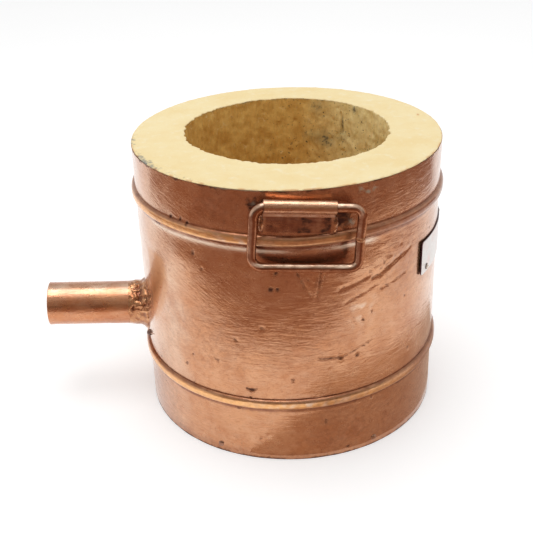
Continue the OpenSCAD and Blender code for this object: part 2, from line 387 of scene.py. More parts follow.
def plated(name, ripple=0.05, roughness=0.2, colour=COPPER, deep=COPPER_DEEP, coat=0.65, metallic=0.85,
           grazing=(1, 1, 1), marked=False):
    """Copper plating under a clear lacquer, with a brushed and wavy ground, speckles and tarnish. Marked
    pieces also take painted highlights, sheens, reflections and shade.
    """
    s = Shader(name, Metallic=metallic, Coat_Weight=coat, Coat_Roughness=0.1, Coat_IOR=1.5,
               Specular_Tint=(*grazing, 1))
    broad = s.span(s.noise(38, 5, 0.62, 0.4), 0.38, 0.64)
    smear = s.span(s.noise(9, 4, 0.65, 0.3, s.stretched((1.6, 1.6, 0.8))), 0.35, 0.68)
    tint = s.mix(s.times(broad, 0.7), colour, deep)
    tint = s.mix(s.times(smear, 0.38), tint, COPPER_PALE)
    blotch = s.span(s.noise(6, 5, 0.7, 0.5), 0.54, 0.68)
    tint = s.mix(s.times(blotch, 0.6), tint, deep)
    specks = s.span(s.noise(1.9, 3, 0.6), 0.64, 0.74)
    tint = s.mix(s.times(specks, 0.5), tint, DARK_BROWN)
    rough = s.span(s.noise(14, 4, 0.6), 0.3, 0.7, roughness * 0.7, roughness * 1.5)
    level = s.noise(8, 3, 0.5, 0.6, s.stretched((2.4, 2.4, 0.5)))
    waves = level
    if marked:
        edge = s.span(s.noise(3.5, 3, 0.6), 0.3, 0.7, -0.3, 0.3)
        # Painted highlights and a painted reflection.
        tint = s.mix(s.value("painted_highlight"), tint, HIGHLIGHT_ORANGE)
        # Painted sheens and highlights in cream, and chalky smudges.
        tint = s.mix(s.value("pale"), tint, SHEEN)
        # Painted shade, in dark brown.
        shade = s.span(s.plus(s.value("shade"), s.times(edge, 0.5)), 0.1, 1.0)
        tint = s.mix(s.times(shade, 0.9), tint, DARK_BROWN)
        # Dirt, sooty marks and tarnish, and painted shade in creases.
        dark = s.span(s.plus(s.value("grime"), edge), 0.25, 0.8)
        tint = s.mix(dark, tint, TARNISH_AND_SHADE)
        pale = s.span(s.plus(s.value("chalk"), edge), 0.3, 1.0)
        tint = s.mix(pale, tint, CHALK)
        # Red-orange from heating, and painted red-orange reflections.
        tint = s.mix(s.value("heat"), tint, RED_ORANGE)
        dimmed = s.math("MAXIMUM", dark, pale)
        s.put(s.bsdf.inputs["Coat Weight"], s.span(dimmed, 0, 1, coat, 0.05))
        painted = s.math("MAXIMUM", s.value("heat"), s.span(s.value("pale"), 0.45, 0.9))
        s.put(s.bsdf.inputs["Metallic"], s.span(painted, 0, 1, metallic, 0.35))
        rough = s.plus(rough, s.math("MAXIMUM", s.times(dimmed, 0.3), s.value("dull")))
        strokes = s.noise(3.4, 3, 0.55, 0.3, s.stretched((3, 3, 0.45), (0, 36, 0)))
        slant = s.value("slant")
        waves = s.plus(s.times(strokes, s.times(slant, 0.5)),
                       s.times(level, s.math("SUBTRACT", 1.0, slant)))
        scratch = s.span(strokes, 0.5, 0.68)
        tint = s.mix(s.times(s.times(scratch, slant), 0.35), tint, deep)
    normal = s.bump(waves, ripple * 5)
    brushed = s.noise(1.5, 3, 0.55, 0.2, s.stretched((3.2, 3.2, 0.55)))
    tint = s.mix(s.times(s.span(brushed, 0.52, 0.66), 0.4), tint, deep)
    normal = s.bump(brushed, ripple * 1.5, normal)
    normal = s.bump(s.noise(2.6, 3, 0.5), ripple * 1.5, normal)
    normal = s.bump(s.noise(0.9, 2, 0.5), ripple * 0.3, normal)
    return s.finish(tint, rough, normal, normal)


def weld_metal(name):
    """A brazed bead under the same plating: glossy lumps, coloured darker where they sink and in the
    hollows.
    """
    s = Shader(name, Metallic=0.85, Coat_Weight=0.5, Coat_Roughness=0.12)
    lumps = s.noise(5, 3, 0.5, 0.4)
    tint = s.mix(s.span(lumps, 0.35, 0.65), (0.42, 0.15, 0.055), (0.72, 0.36, 0.17))
    tint = s.mix(s.value("hollow"), tint, DARK_BROWN)
    normal = s.bump(lumps, 0.9)
    normal = s.bump(s.noise(1.6, 2, 0.5), 0.15, normal)
    return s.finish(tint, s.span(s.noise(4, 3), 0.3, 0.7, 0.14, 0.34), normal, normal)


def cast_refractory(name, marked=False):
    """Trowelled castable: cream, sandy, with grit, pin holes and stains from heating; in the chamber also
    sooty patches, and painted shade along the crack and under the back edge.
    """
    s = Shader(name, Specular_IOR_Level=0.2)
    cloud = s.span(s.noise(30, 4, 0.6), 0.35, 0.68)
    tint = s.mix(cloud, (0.95, 0.80, 0.475), (0.92, 0.73, 0.385))
    tint = s.mix(s.span(s.noise(7, 4, 0.6), 0.55, 0.8), tint, (0.96, 0.85, 0.60))
    grit = s.span(s.noise(1.4, 3, 0.6), 0.66, 0.78)
    tint = s.mix(s.times(grit, 0.35), tint, (0.60, 0.42, 0.18))
    if marked:
        wander = s.span(s.noise(9, 5, 0.65), 0.3, 0.7, -0.12, 0.12)
        inside = s.span(s.plus(s.value("scorch"), wander), 0.35, 0.65)
        blotch = s.span(s.noise(11, 5, 0.65), 0.38, 0.65)
        ochre = s.mix(blotch, (0.75, 0.46, 0.13), (0.58, 0.31, 0.07))
        olive = s.mix(blotch, (1.0, 0.82, 0.40), (0.72, 0.53, 0.20))
        wall = s.mix(s.value("olive"), ochre, olive)
        smear = s.span(s.noise(6, 4, 0.6, 0.8), 0.60, 0.72)
        wall = s.mix(s.times(smear, 0.45), wall, (0.90, 0.70, 0.36))
        # Sooty patches, and painted shade along the crack and under the back edge of the opening.
        patch = s.span(s.plus(s.value("soot"), s.span(s.noise(4, 5, 0.7), 0.3, 0.7, -0.5, 0.5)),
                       0.55, 0.8)
        cloud = s.span(s.times(s.value("soot"), s.noise(8, 4, 0.65)), 0.05, 0.4, 0, 0.75)
        wall = s.mix(cloud, wall, (0.27, 0.23, 0.12))
        wall = s.mix(s.times(patch, 0.8), wall, (0.12, 0.10, 0.06))
        flecks = s.span(s.noise(2.4, 3, 0.6), 0.63, 0.70)
        wall = s.mix(s.times(flecks, s.value("flecked")), wall, (0.05, 0.04, 0.03))
        tint = s.mix(inside, tint, wall)
        edge = s.span(s.noise(3, 4, 0.6), 0.3, 0.7, -0.35, 0.35)
        stain = s.span(s.plus(s.value("stain"), edge), 0.35, 0.9)
        tint = s.mix(stain, tint, (0.24, 0.25, 0.24))
        tint = s.mix(s.value("rust"), tint, (0.62, 0.22, 0.05))
    normal = s.bump(s.noise(9, 5, 0.6), 0.8)
    normal = s.bump(s.noise(1.8, 4, 0.65), 0.3, normal)
    return s.finish(tint, 0.9, normal)


def fibre_board(name):
    s = Shader(name, Specular_IOR_Level=0.15, Sheen_Weight=0.2)
    strands = s.noise(3, 5, 0.7, 1.5, s.stretched((1, 1, 0.35)))
    tint = s.mix(strands, (0.86, 0.84, 0.78), (0.72, 0.68, 0.60))
    return s.finish(tint, 0.95, s.bump(strands, 0.6))


def plate_metal(name, colour, dark, roughness):
    """Rolled plate: brushed along its length, with a pink bloom, and near-black where the edge attribute is
    set: painted shade along the plate's sides and back, and a dark ring round each rivet head.
    """
    s = Shader(name, Metallic=0.75, Coat_Weight=0.3, Coat_Roughness=0.15)
    brushed = s.noise(3, 4, 0.6, 0, s.stretched((5, 5, 0.12)))
    bloom = s.span(s.noise(11, 4, 0.6), 0.5, 0.72)
    tint = s.mix(s.times(brushed, 0.4), colour, dark)
    tint = s.mix(s.times(bloom, 0.6), tint, (0.78, 0.52, 0.47))
    tint = s.mix(s.value("edge"), tint, (0.075, 0.02, 0.025))
    rough = s.span(brushed, 0.2, 0.8, roughness * 0.8, roughness * 1.4)
    return s.finish(tint, rough, s.bump(brushed, 0.08))


SHEET = plated("plated_sheet", ripple=0.042, marked=True)
PIPE = plated("plated_pipe", ripple=0.05, roughness=0.27, colour=(0.68, 0.275, 0.11),
              deep=(0.50, 0.15, 0.05), marked=True)
ROD = plated("plated_rod", ripple=0.04, roughness=0.14, colour=(0.50, 0.17, 0.06),
             deep=(0.24, 0.07, 0.025), coat=0.2, grazing=(0.85, 0.5, 0.3), marked=True)
CLIP = plated("plated_clip", ripple=0.06, roughness=0.26, marked=True)
RIVET = plated("plated_rivet", ripple=0.03, roughness=0.3, colour=(0.38, 0.16, 0.09),
               deep=(0.2, 0.08, 0.04))
PAN = plated("plated_pan", ripple=0.04, roughness=0.3)
WELD = weld_metal("plated_weld")
NEAR_BLACK = plated("near_black_drop", ripple=0.05, roughness=0.3, colour=(0.07, 0.016, 0.02),
               deep=(0.03, 0.008, 0.012), coat=0.15, metallic=0.2)
CAST = cast_refractory("castable_lining", marked=True)
CAST_PLAIN = cast_refractory("castable_plain")
FIBRE = fibre_board("ceramic_fibre")
PLATE = plate_metal("plate_face", (0.78, 0.74, 0.71), (0.55, 0.48, 0.46), 0.28)
PLATE_RIVET = plate_metal("plate_rivet", (0.78, 0.73, 0.62), (0.45, 0.38, 0.30), 0.3)


# ---- drum ----

def surface_gap(azimuth, z, middle):
    """Distance over the sheet, in millimetres, to a place given as (azimuth, height)."""
    turn = (azimuth - middle[0] + 180) % 360 - 180
    return np.hypot(np.radians(turn) * DRUM_R, z - middle[1])


def line_gap(azimuth, z, start, end):
    """Distance over the sheet to a straight stroke between two (azimuth, height) places."""
    scale = math.radians(1) * DRUM_R
    a, b = np.array([start[0] * scale, start[1]]), np.array([end[0] * scale, end[1]])
    p = np.stack(np.broadcast_arrays(azimuth * scale, z), -1) - a
    t = np.clip(p @ (b - a) / ((b - a) @ (b - a)), 0, 1)
    return np.linalg.norm(p - t[..., None] * (b - a), axis=-1)


# Small knocks: azimuth, height, radius, depth, how dark
PITS = [
    (-10, 158.5, 2.1, 0.5, 1.0), (-7.8, 158.2, 1.8, 0.4, 0.9), (22.5, 124, 1.5, 0.4, 0.7),
    (26, 129, 1.4, 0.35, 0.7), (20.5, 93, 1.8, 0.5, 0.9), (-3, 77.5, 1.8, 0.4, 0.7),
    (-42, 87, 1.5, 0.4, 0.7), (45.5, 77, 1.3, 0.3, 0.8), (62, 61.5, 1.2, 0.3, 0.9),
    (42, 130.5, 1.4, 0.35, 0.7), (58.5, 175.5, 1.3, 0.3, 0.7), (-35, 168, 1.3, 0.3, 0.6),
    (-31, 8, 1.5, 0.4, 1.0), (-25, 16, 3.0, 0.6, 0.3), (17.5, 6, 1.5, 0.3, 1.0),
    (-47, 117, 3.4, 0.5, 0.1), (36, 170, 2.2, 0.5, 0.6), (25, 164, 2.0, 0.45, 0.5),
    (31, 168.5, 2.0, 0.4, 0.6), (-48, 204.5, 1.6, 0.4, 0.9), (-43, 205, 1.4, 0.3, 0.9),
    (-40, 203, 1.5, 0.3, 0.8), (-8.4, 172.5, 2.6, 0.4, 0.6),
]
# Pits with a raised rim: azimuth, height, radius
RINGS = [(14, 94, 2.4), (-18.5, 60.5, 1.8)]
# Strokes: start, end, half width, depth, how dark
STROKES = [
    ((14, 94), (27, 103), 0.9, 0.25, 0.6), ((13.5, 154.5), (40, 169.5), 1.6, 0.5, 0.3),
    ((-1.1, 172), (3.4, 151), 1.2, 0.35, 0.5), ((6.9, 172), (5.5, 150), 1.2, 0.35, 0.5),
    ((0.5, 171), (4.6, 161), 0.9, 0.3, 0.4), ((8.4, 170), (7.2, 156), 0.9, 0.3, 0.35),
    ((-20, 69), (-18.3, 67), 0.9, 0.45, 0.9), ((-18.3, 67), (-16.6, 68), 0.9, 0.45, 0.9),
    ((-19, 68.6), (-16, 69.2), 0.7, 0.3, 0.7), ((26, 158), (44, 172), 1.4, 0.5, 0.35),
    ((16, 143), (36, 158), 1.2, 0.3, 0.3),
    ((30, 147), (42, 152), 1.3, 0.35, 0.4), ((6, 96), (15, 94), 1.0, 0.3, 0.7),
]
RANDOM_PITS = 60
# Painted shade on the sheet, inside the handle and over three broad patches: how strong, then the azimuths
# and the heights where each starts, is full, fades and is gone
SHADED = [
    (0.85, (-14, -10, 14, 19), (172, 177, 186, 190)), (0.3, (-150, -115, -58, -46), (-1, 0, 44, 60)),
    (0.2, (-64, -52, -24, -12), (72, 88, 126, 140)), (0.26, (24, 36, 120, 150), (124, 140, 192, 196)),
]
# Soot left where the clip was brazed on: azimuth, height, radius, how dark
BRAZED = [(13.5, 214, 7.5, 1.3), (-15, 226, 6, 1.0)]
# Chalky splashes: azimuth, height, radius
SPLASHES = [(-15, 227.5, 2.6), (17.5, 209, 4), (21, 233, 2.5), (26, 232, 3.2), (23.5, 230, 2.2)]
# How the painted highlight on each bead's crown runs: azimuths where it ends, middle and width of its gleam
BEAD_HIGHLIGHTS = (((22, 60), (4, 18)), ((6, 26), (-20, 9)))
FRONT_HALF = (-150, -115)
GROOVE_Z = LOWER_BEAD_Z - LOWER_BEAD_W / 2 - 3.3


def random_pits():
    """Little knocks all round the drum, between the beads and below."""
    azimuths = rng.uniform(-180, 180, RANDOM_PITS)
    heights = rng.uniform(12, 190, RANDOM_PITS)
    radii = rng.uniform(0.9, 2.2, RANDOM_PITS)
    return [(a, z, r, 0.18 * r, d) for a, z, r, d
            in zip(azimuths, heights, radii, rng.uniform(0, 0.8, RANDOM_PITS))]


class Marks(dict):
    """What is painted on the sheet: dirt, chalk and colour from heating, and painted highlights, sheens,
    reflections and shade. Where two marks of a kind lie over each other, the stronger shows.
    """

    def add(self, kind, value):
        self[kind] = np.maximum(self.get(kind, 0), value)


def knocks(azimuth, z, marks):
    """How far the pits, rings and strokes lift the sheet. Their grime goes into the marks."""
    lift = np.zeros_like(z)
    for a, height, radius, depth, dark in PITS + random_pits():
        gap = surface_gap(azimuth, z, (a, height))
        lift -= depth * bell(gap, 0, radius)
        marks.add("grime", dark * bell(gap, 0, radius * 1.15))
    for a, height, radius in RINGS:
        gap = surface_gap(azimuth, z, (a, height))
        hollow = bell(gap, 0, radius * 0.7)
        lift += 0.35 * bell(gap, radius, 0.9) - 0.4 * hollow
        marks.add("grime", 0.7 * hollow)
    for start, end, width, depth, dark in STROKES:
        stroke = bell(line_gap(azimuth, z, start, end), 0, width)
        lift -= depth * stroke
        marks.add("grime", dark * stroke)
    return lift


def paint_beads(p, azimuth, z, marks):
    """Painted shade in the creases, along the beads' edges and where their highlights end, and painted
    highlights on their crowns between edges of painted red-orange reflection. Returns where the beads are.
    """
    beaded = np.zeros_like(z)
    for (height, width), (dimmed, gleam) in zip(BEADS, BEAD_HIGHLIGHTS):
        share = (z - height) / (width / 2)
        # Painted shade along the creases beside each bead.
        crease = np.maximum(smooth(-1.75, -1.5, share) * (share < -1), bell(share, 1.06, 0.2) * (share > 1))
        marks.add("shade", crease * (0.9 + 0.4 * noise(p, 14, 5.0)))
        marks.add("grime", 0.6 * crease * smooth(0.2, 0.8, noise(p, 11, 15.0)))
        on_bead = (np.abs(share) < 1).astype(float)
        beaded = np.maximum(beaded, on_bead)
        # A painted highlight along the crown, fading towards the right and the back, with painted
        # red-orange reflection beside it.
        crest = on_bead * (1 - smooth(0.35, 0.85, np.abs(share + 0.05)))
        fade = (1 - smooth(*dimmed, azimuth)) * smooth(*FRONT_HALF, azimuth)
        by_tab = bell(azimuth, 2, 16) * (height == UPPER_BEAD_Z)
        marks.add("painted_highlight", crest * fade * (1 - 0.55 * by_tab) * (0.85 + 0.4 * noise(p, 4, 2.0)))
        marks.add("heat", 0.5 * (1 - marks["painted_highlight"]) * on_bead * fade)
        # Painted shade along the bead's edges, past where its highlight ends and beside the front handle.
        edge = on_bead * smooth(0.5, 0.9, np.abs(share))
        marks.add("shade", edge * (0.55 + 0.4 * noise(p, 9, 7.0)))
        marks.add("shade", on_bead * np.maximum(0.62 * (1 - fade), 0.3 * by_tab))
        # A painted gleam on the crown.
        marks.add("gleam", 0.75 * crest * bell(azimuth, *gleam) * smooth(-0.3, 0.5, noise(p, 5, 9.0)))
    return beaded


def paint_dirt_and_shade(p, azimuth, z, marks):
    """Grime along the edges, painted shade over parts of the sheet, darker towards the foot, and chalk."""
    ragged = 2.2 + 1.6 * noise(p, 12, 7.0)
    marks.add("grime", 0.9 * (1 - smooth(0, 1, z / ragged)))
    marks.add("grime", 0.7 * bell(z, SHEET_H - 0.4, 1.3) * (0.5 + noise(p, 10, 4.0)))
    # Painted shade round the pipe.
    weld_gap = np.where(p[..., 0] < 0, np.hypot(p[..., 1], z - PIPE_Z), 99)
    marks.add("shade", 0.8 * (1 - smooth(23, 29, weld_gap + 3 * noise(p, 8, 2.0))))
    # Painted shade above the upper bead in front, where the sheet reflects dark surroundings.
    marks.add("shade", 0.75 * bell(azimuth, -1, 13) * bell(z, 213, 9))
    marks.add("shade", 0.55 * bell(azimuth, 8, 9) * bell(z, 165, 10) * smooth(-0.1, 0.5, noise(p, 9, 3)))
    # Painted reflection of the drum's shadow on the floor, low on the right.
    low = 1 - smooth(50, 75, z + 6 * noise(p, 30, 1.0))
    marks.add("shade", 0.38 * window(azimuth, -8, 12, 95, 120) * low)
    # Painted shade over the band above the upper bead, where the sheet reflects dark surroundings.
    crown = smooth(204, 212, z + 3 * noise(p, 20, 2.0))
    marks.add("shade", 0.36 * crown * window(azimuth, -44, -28, 60, 85))
    # Darker towards the foot.
    marks.add("shade", 0.4 * (1 - smooth(4, 9, z + 2 * noise(p, 9, 8.0))))
    for strength, azimuths, heights in SHADED:
        marks.add("shade", strength * window(azimuth, *azimuths) * window(z, *heights))
    for a, height, radius, dark in BRAZED:
        marks.add("grime", dark * bell(surface_gap(azimuth, z, (a, height)), 0, radius))
    for a, height, radius in SPLASHES:
        marks.add("chalk", 0.8 * bell(surface_gap(azimuth, z, (a, height)), 0, radius))
    marks.add("chalk", 0.9 * bell(z, SHEET_H, 0.8) * window(azimuth, -32, -26, -14, -10))


def paint_sheen(p, azimuth, z, beaded, marks):
    """Painted sheens and highlights, a chalky smudge, the coppery patch beside the pipe, which is the
    pipe's reflection painted on, and the red-orange tint from heating over the handle.
    """
    # A painted sheen: a cream stripe under the upper bead, broken in the middle.
    stripe = window(azimuth, -66, -58, 24, 30) * (1 - bell(azimuth, 3, 7))
    marks.add("pale", 0.95 * stripe * bell(z, 190.6 + 0.6 * noise(p, 20, 3.0), 2.6))
    # Painted sheen down the left and right sides.
    left = smooth(-41, -50, azimuth + 3 * noise(p, 16, 12.0)) * (0.35 + 0.65 * smooth(42, 72, z))
    left = left * (1 - 0.5 * smooth(203, 214, z))
    right = 0.75 * smooth(44, 58, azimuth) * (1 - 0.6 * smooth(124, 146, z))
    ahead = smooth(130, 100, np.abs(azimuth))
    marks.add("pale", 0.42 * (left + right) * ahead * (0.75 + 0.5 * noise(p, 14, 1.0)))
    # A chalky smudge.
    marks.add("pale", 0.6 * bell(azimuth, 22, 5) * bell(z, 134, 15) * smooth(0, 0.5, noise(p, 7, 8.0)))
    marks["pale"] *= (1 - 0.7 * smooth(30, 40, azimuth) * (1 - smooth(45, 60, z))) * (1 - beaded)
    # The painted gleams on the beads' crowns join the sheens.
    marks.add("pale", marks.pop("gleam"))
    # The coppery patch beside the pipe: the pipe's reflection, painted on.
    flare = azimuth + 53.5 + 0.0045 * (z - 148) ** 2
    by_pipe = smooth(-69, -66, azimuth) * smooth(1.8, -1.8, flare) * (1 - smooth(160, 167, z))
    marks["pale"] *= 1 - by_pipe
    marks.add("dull", np.maximum(0.13 * beaded, 0.12 * by_pipe))
    marks.add("heat", 0.95 * window(azimuth, -11, -9, 2, 5) * smooth(229, 232, z))
    marks.add("heat", 0.6 * by_pipe)
    marks.add("painted_highlight", 0.3 * by_pipe)
    marks.add("slant", window(azimuth, -66, -56, -22, -6) * smooth(118, 150, z))


def sheet_relief(azimuth, z):
    """How far the sheet stands out of true, and what is painted on it."""
    p = on_drum(azimuth, DRUM_R, z)
    marks = Marks()
    lift = 0.22 * noise(p, 70) + 0.12 * noise(p, 24, 9.0)
    lift -= 0.7 * window(z, 168, 188, 189, 194.6) * (0.35 + 0.65 * window(azimuth, -72, -50, 15, 30))
    crumple = bell(azimuth, 35, 12) * bell(z, 162, 14)
    lift += 0.55 * crumple * noise(p * np.array([1, 1, 1.6]), 9, 3.0)
    lift += knocks(azimuth, z, marks)
    # A shallow groove below the lower bead, with painted shade along it.
    groove = window(azimuth, -24, -15, 26, 36)
    lift -= 0.35 * bell(z, GROOVE_Z, 0.9) * groove
    marks.add("shade", 0.45 * bell(z, GROOVE_Z, 0.7) * groove)
    beaded = paint_beads(p, azimuth, z, marks)
    paint_dirt_and_shade(p, azimuth, z, marks)
    paint_sheen(p, azimuth, z, beaded, marks)
    return lift, marks


def bead_stand(share):
    """How far a bead stands out, from one crease (-1) over its flattish crown (0) to the other (1)."""
    return BEAD_RISE * (1 - abs(share) ** 2.8) ** (1 / 1.9)


def sheet_heights():
    """Rows up the sheet: (height, how far the row stands out of the drum's face)."""
    rows = []
    start = 0.0
    for z, width in BEADS:
        half = width / 2
        for height in np.linspace(start, z - half, int((z - half - start) / 1.25)):
            rows.append((height, 0.0))
        for turn in np.radians(np.linspace(-90, 90, 19))[1:-1]:
            rows.append((z + half * math.sin(turn), bead_stand(math.sin(turn))))
        start = z + half
    for height in np.linspace(start, SHEET_H, int((SHEET_H - start) / 1.1)):
        rows.append((height, 0.0))
    return np.array(rows)


def bead_slope(azimuth, z):
    """How much higher a point of a bead sits. The lower one is out of level, and the upper one sags
    in front."""
    lower = smooth(18, 46, z) * (1 - smooth(64, 105, z))
    upper = smooth(172, 192, z) * (1 - smooth(205, 222, z))
    return 0.018 * DRUM_R * np.sin(np.radians(azimuth)) * lower - 1.1 * bell(azimuth, 0, 13) * upper


def drum_columns():
    """Azimuths round the sheet, with a close pair at each edge of the lapped seam."""
    half = math.degrees(SEAM_LAP / 2 / DRUM_R)
    step = 0.01
    edges = [SEAM_AZIMUTH + side * half + d for side in (-1, 1) for d in (-step, step)]
    return np.sort(np.concatenate([np.linspace(-180, 180, 860, endpoint=False), edges]))


def uneven_edges(azimuth, z):
    """How far the sheet's top and bottom edges wander down or up."""
    rim = on_drum(azimuth, DRUM_R, 0)
    top = -0.5 * smooth(232, SHEET_H, z) * (0.5 + 0.5 * noise(rim, 26, 6.0))
    foot = 0.5 * (1 - smooth(0, 4, z)) * (0.5 + 0.5 * noise(rim, 15, 8.0))
    return top + foot


def build_shell():
    azimuth = drum_columns()[:, None]
    rows = sheet_heights()
    z, stand = rows[None, :, 0], rows[None, :, 1]
    lap = SHEET_T * (np.abs(azimuth - SEAM_AZIMUTH) < math.degrees(SEAM_LAP / 2 / DRUM_R))
    lift, marks = sheet_relief(azimuth + 0 * z, z + 0 * azimuth)
    face = np.minimum(DRUM_R + stand + lift, DRUM_R + BEAD_RISE - 0.04) + lap
    outer = on_drum(azimuth, face, z + uneven_edges(azimuth, z) + bead_slope(azimuth, z))
    inner_z = np.concatenate([[SHEET_H - 0.3], rows[::-4][1:-1, 0], [0.3]])[None, :]
    inner = on_drum(azimuth, SHEET_IN_R, inner_z + uneven_edges(azimuth, inner_z))
    points = np.concatenate([outer, inner], 1)
    spare = np.zeros(inner.shape[:2])
    values = {name: np.concatenate([value, spare], 1) for name, value in marks.items()}
    shell = ring_mesh("shell_sheet", points, node="shell", material=SHEET, **values)
    cut_with_cylinder(shell, -DRUM_R - 10, -DRUM_R + 20, PIPE_SEAT_R)


# ---- refractory ----

def opening_radius(turn):
    """Radius of the hand-trowelled opening about the chamber's centre, at a turn in degrees."""
    turns = [0, 45, 90, 180, 270, 315, 360]
    radii = [79.8, 83.6, 84.3, 88.3, 86.7, 77.6, 79.8]
    t = turn % 360
    spread = [np.interp((t + d) % 360, turns, radii) for d in range(-24, 25, 6)]
    return np.mean(spread, 0)


CRACK_TURN = 140.5
# Soot in the chamber: turn about the chamber's centre, height, radius, how dark
SOOT = [(152, 201, 9, 0.62), (163, 204, 6, 0.45), (140, 206, 7, 0.45), (158, 231, 7, 0.5),
        (131, 235, 5, 0.6)]


def build_lining():
    turn = np.linspace(0, 360, 760, endpoint=False)[:, None]
    ring = on_drum(turn, 100, 0)
    ragged = 1.3 * noise(ring, 13, 1.0) + 1.1 * noise(ring, 6, 2.0) + 0.7 * noise(ring, 2.8, 3.0)
    mouth = opening_radius(turn) + ragged
    lip_h, face_z = 0.9, TOP_Z - 0.5
    depth = np.linspace(0, 1, 96)[None, :]
    wall_z = CHAMBER_FLOOR_Z + (face_z - lip_h - CHAMBER_FLOOR_Z) * depth
    wall_r = CHAMBER_R + (mouth - CHAMBER_R) * smooth(0.3, 1, depth)
    wall = on_drum(turn, wall_r, wall_z)
    rough = 1.1 * noise(wall, 16, 4.0) + 0.9 * noise(wall, 6, 5.0) + 0.5 * noise(wall, 2.6, 6.0)
    pits = np.clip(noise(wall, 5, 12.0) - 0.4, 0, 1)
    crack = np.abs(turn - CRACK_TURN - 3 * noise(wall, 7, 2.0)) * 1.5
    crack = crack + 99 * ((wall_z < 208) | (wall_z > 229))
    fade = 1 - 0.6 * smooth(face_z - 4, face_z - lip_h, wall_z)
    sunk = (0.8 * rough + 3.2 * pits) * fade + 1.8 * bell(crack, 0, 0.9)
    wall = on_drum(turn, wall_r + sunk, wall_z)
    lip = np.radians(np.linspace(0, 90, 5))[None, :]
    lip_r = mouth + sunk[:, -1:] + lip_h * (1 - np.cos(lip))
    edge = on_drum(turn, lip_r, face_z - lip_h + lip_h * np.sin(lip))
    inner = np.concatenate([wall, edge], 1)
    inner[..., :2] += CHAMBER
    share = np.linspace(0, 1, 44)[None, 1:, None]
    chips = 0.7 * noise(ring, 9, 8.0) + 0.5 * noise(ring, 3.5, 9.0)
    outer_edge = on_drum(turn, CROWN_R - 1.0 + chips, face_z)
    top = edge[:, -1:] + np.array([*CHAMBER, 0]) + 0 * share
    top = top + (outer_edge - top) * share
    trowel = 0.3 * noise(top, 24, 2.0) + 0.1 * noise(top, 6, 3.0) + 0.06 * noise(top, 2.2, 4.0)
    top[..., 2] = face_z + np.clip(trowel, -0.6, 0.45)
    rim = np.array([(CROWN_R - 0.15, TOP_Z - 0.8), (CROWN_R, TOP_Z - 1.2), (CROWN_R - 0.1, SHEET_H),
                    (COLLAR_R, SHEET_H - 0.2), (COLLAR_R, COLLAR_Z), (WALL_OUT_R, COLLAR_Z - 0.1),
                    (WALL_OUT_R, CHAMBER_FLOOR_Z + 60), (WALL_OUT_R, CHAMBER_FLOOR_Z)])
    chips = 0.25 * noise(ring, 7, 9.0) * np.array([1, 1, 1, 0, 0, 0, 0, 0])[None, :]
    skirt = on_drum(turn, np.minimum(rim[None, :, 0] + chips, CROWN_R), rim[None, :, 1])
    points = np.concatenate([inner, top, skirt], 1)
    x, y, z = points[..., 0], points[..., 1], points[..., 2]
    from_centre = np.hypot(x - CHAMBER[0], y - CHAMBER[1])
    scorch = np.where(from_centre > 95, 0, 1 - smooth(TOP_Z - 1.9, TOP_Z - 0.8, z))
    around = np.degrees(np.arctan2(x - CHAMBER[0], -(y - CHAMBER[1]))) % 360

    def on_wall(at_turn, height, radius):
        gap = np.hypot(np.radians((around - at_turn + 180) % 360 - 180) * CHAMBER_R, z - height)
        return bell(gap, 0, radius) * (from_centre < 95)

    olive = window(around, 5, 60, 128, 172)
    soot = sum(dark * on_wall(at_turn, height, radius) for at_turn, height, radius, dark in SOOT)
    # Painted shade along the crack and under the back edge of the opening, kept with the sooty patches.
    soot = np.maximum(soot, 0.8 * bell(around, CRACK_TURN, 0.8) * window(z, 207, 211, 224, 229))
    lip_shade = 0.8 * bell(z, TOP_Z - 1.8, 1.3) * window(around, 130, 145, 258, 275)
    soot = np.maximum(soot, lip_shade * (0.45 + 0.5 * noise(points, 7, 11.0)))
    flecked = 0.9 * window(around, 75, 125, 175, 205) + 0.12
    on_top = z > TOP_Z - 3
    side = np.degrees(np.arctan2(x, -y))
    from_axis = np.hypot(x, y)
    left = 0.75 * bell(side, -62, 14) + 0.5 * bell(side, -88, 9) + 0.3 * bell(side, -36, 9)
    stain = on_top * left * smooth(119, 125, from_axis) * (0.85 + 0.6 * noise(points, 8, 9.0))
    rim_line = on_top * smooth(125.4, 126.6, from_axis)
    stain = np.maximum(stain, 0.35 * rim_line * (0.5 + noise(points, 10, 5.0)))
    burnt = 0.5 * rim_line * smooth(-0.1, 0.4, noise(points, 6, 15.0))
    speck = 0.8 * bell(np.hypot(x - 115, (y - 26) / 2.2), 0, 0.9) * on_top
    rust = burnt + speck + 0.8 * on_wall(116.5, 216, 1.2)
    lining = ring_mesh("castable_wall", points, node="lining_wall", material=CAST, scorch=scorch,
                       olive=olive, stain=stain, soot=soot, flecked=flecked, rust=rust)
    cut_with_cylinder(lining, -DRUM_R, PIPE_END, PIPE_SEAT_R)
    cut_with_cylinder(lining, PIPE_END - 1, 0, FLAME_PORT_R)


def puck(node, low_ease, high_ease):
    """Outline of a flat round piece with eased edges, as big as a node."""
    (_, _, low), (r, _, high) = node_box(node)
    return [(0, low), (r - low_ease, low), (r, low + low_ease), (r, high - high_ease),
            (r - high_ease, high), (0, high)]


def solid_disc(name, outline, centre=(0.0, 0.0), lumps=0.1, size=10.0, **how):
    points, faces = lathe(subdivided(np.array(outline, float), 3), 160)
    points[:, :2] += np.array(centre)
    mesh_object(name, waved(points, lumps, size), faces, **how)


